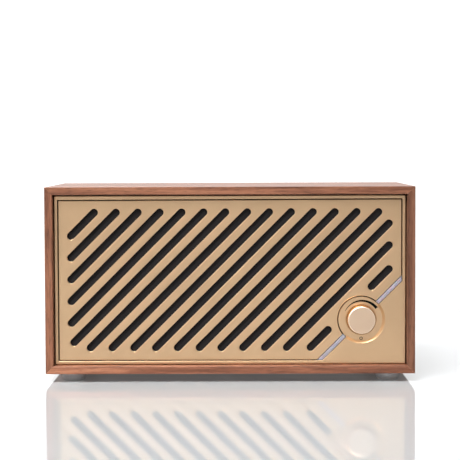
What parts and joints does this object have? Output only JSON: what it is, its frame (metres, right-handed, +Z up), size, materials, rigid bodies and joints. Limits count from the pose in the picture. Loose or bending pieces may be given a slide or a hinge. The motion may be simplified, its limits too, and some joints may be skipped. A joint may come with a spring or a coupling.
{
  "type": "tabletop radio",
  "caption": "Tabletop radio: mitred wood sleeve, slotted metal front over cloth, knob in a dish with a diagonal light strip, vented back and telescopic aerial.",
  "frame": {"origin": "centre of the bounding box at its base, on the plane that the feet stand on", "axes": "+X to the right seen from the front, +Y from the slotted front to the back, +Z up"},
  "size_m": [0.216, 0.1226, 0.1143],
  "materials": {
    "walnut": "satin oiled walnut veneer, grain along each board",
    "pine": "sawn, unfinished",
    "black_rubber": "matt",
    "grey_rubber": "matt",
    "gold_metal": "champagne anodised, satin with polished edges",
    "black_cloth": "open weave, matt",
    "light_guide": "translucent frosted, grey-lilac when unlit",
    "circuit_board": "solder-masked board",
    "baffle_board": "black painted fibreboard",
    "plated_steel": "zinc plated",
    "black_plastic": "fine texture",
    "black_steel": "black satin",
    "paper_cone": "coated paper pulp",
    "ferrite": "sintered, matt",
    "aluminium": "mill finish",
    "chrome": "polished plating",
    "lead_jacket": "soft insulated wire"
  },
  "bodies": {
    "chassis": {"cabinet_top": "walnut", "cabinet_bottom": "walnut", "cabinet_left": "walnut", "cabinet_right": "walnut", "corner_block_lower_left": "pine", "corner_block_upper_left": "pine", "corner_block_lower_right": "pine", "corner_block_upper_right": "pine", "foot_front_left": "grey_rubber", "foot_front_right": "grey_rubber", "foot_rear_left": "grey_rubber", "foot_rear_right": "grey_rubber", "cone_surround_left": "black_rubber", "cone_surround_right": "black_rubber", "aerial_lead": "black_rubber", "front_frame": "gold_metal", "grille_panel": "gold_metal", "grille_cloth": "black_cloth", "light_strip_lower": "light_guide", "light_strip_upper": "light_guide", "led_board_lower": "circuit_board", "led_board_upper": "circuit_board", "control_board": "circuit_board", "main_board": "circuit_board", "front_baffle": "baffle_board", "encoder_nut": "plated_steel", "radio_module": "plated_steel", "encoder_body": "black_plastic", "back_panel": "black_plastic", "port_tube": "black_plastic", "setup_switch": "black_plastic", "dc_jack": "black_plastic", "aux_jack": "black_plastic", "headphone_jack": "black_plastic", "aerial_mount": "black_plastic", "driver_basket_left": "black_steel", "driver_basket_right": "black_steel", "back_screw_lower_left": "black_steel", "back_screw_upper_left": "black_steel", "back_screw_lower_right": "black_steel", "back_screw_upper_right": "black_steel", "driver_magnet_left": "ferrite", "driver_magnet_right": "ferrite", "amplifier_heatsink": "aluminium", "speaker_lead_left": "lead_jacket", "speaker_lead_right": "lead_jacket", "control_lead": "lead_jacket"},
    "knob_carrier": {"encoder_plunger": "black_plastic"},
    "knob": {"volume_knob": "gold_metal", "encoder_shaft": "plated_steel"},
    "setup_button": {"setup_button": "black_plastic"},
    "cone_left": {"driver_cone_left": "paper_cone"},
    "cone_right": {"driver_cone_right": "paper_cone"},
    "aerial_base": {"aerial_swivel": "chrome", "aerial_pin": "plated_steel"},
    "mast_1": {"aerial_section_1": "chrome"},
    "mast_2": {"aerial_section_2": "chrome"},
    "mast_3": {"aerial_section_3": "chrome"},
    "mast_4": {"aerial_section_4": "chrome"}
  },
  "joints": [
    {"name": "knob_push", "type": "slide", "parent": "chassis", "child": "knob_carrier", "axis": [0, 1, 0], "range_m": [0, 0.0008], "stiffness_N_per_m": 3000},
    {"name": "knob_turn", "type": "hinge", "parent": "knob_carrier", "child": "knob", "pos_m": [0.0769, -0.06075, 0.0361], "axis": [0, 1, 0], "continuous": true},
    {"name": "setup_press", "type": "slide", "parent": "chassis", "child": "setup_button", "axis": [0, -1, 0], "range_m": [0, 0.0007], "stiffness_N_per_m": 2000},
    {"name": "left_cone_travel", "type": "slide", "parent": "chassis", "child": "cone_left", "axis": [0, 1, 0], "range_m": [-0.0015, 0.0015], "stiffness_N_per_m": 1500},
    {"name": "right_cone_travel", "type": "slide", "parent": "chassis", "child": "cone_right", "axis": [0, 1, 0], "range_m": [-0.0015, 0.0015], "stiffness_N_per_m": 1500},
    {"name": "aerial_turn", "type": "hinge", "parent": "chassis", "child": "aerial_base", "pos_m": [0.088, 0.05675, 0.098], "axis": [0, 1, 0], "range_deg": [0, 180]},
    {"name": "aerial_tilt", "type": "hinge", "parent": "aerial_base", "child": "mast_1", "pos_m": [0.088, 0.05675, 0.098], "axis": [0, 0, -1], "range_deg": [0, 90]},
    {"name": "aerial_slide_1", "type": "slide", "parent": "mast_1", "child": "mast_2", "axis": [-1, 0, 0], "range_m": [0, 0.13]},
    {"name": "aerial_slide_2", "type": "slide", "parent": "mast_2", "child": "mast_3", "axis": [-1, 0, 0], "range_m": [0, 0.13]},
    {"name": "aerial_slide_3", "type": "slide", "parent": "mast_3", "child": "mast_4", "axis": [-1, 0, 0], "range_m": [0, 0.13]}
  ]
}
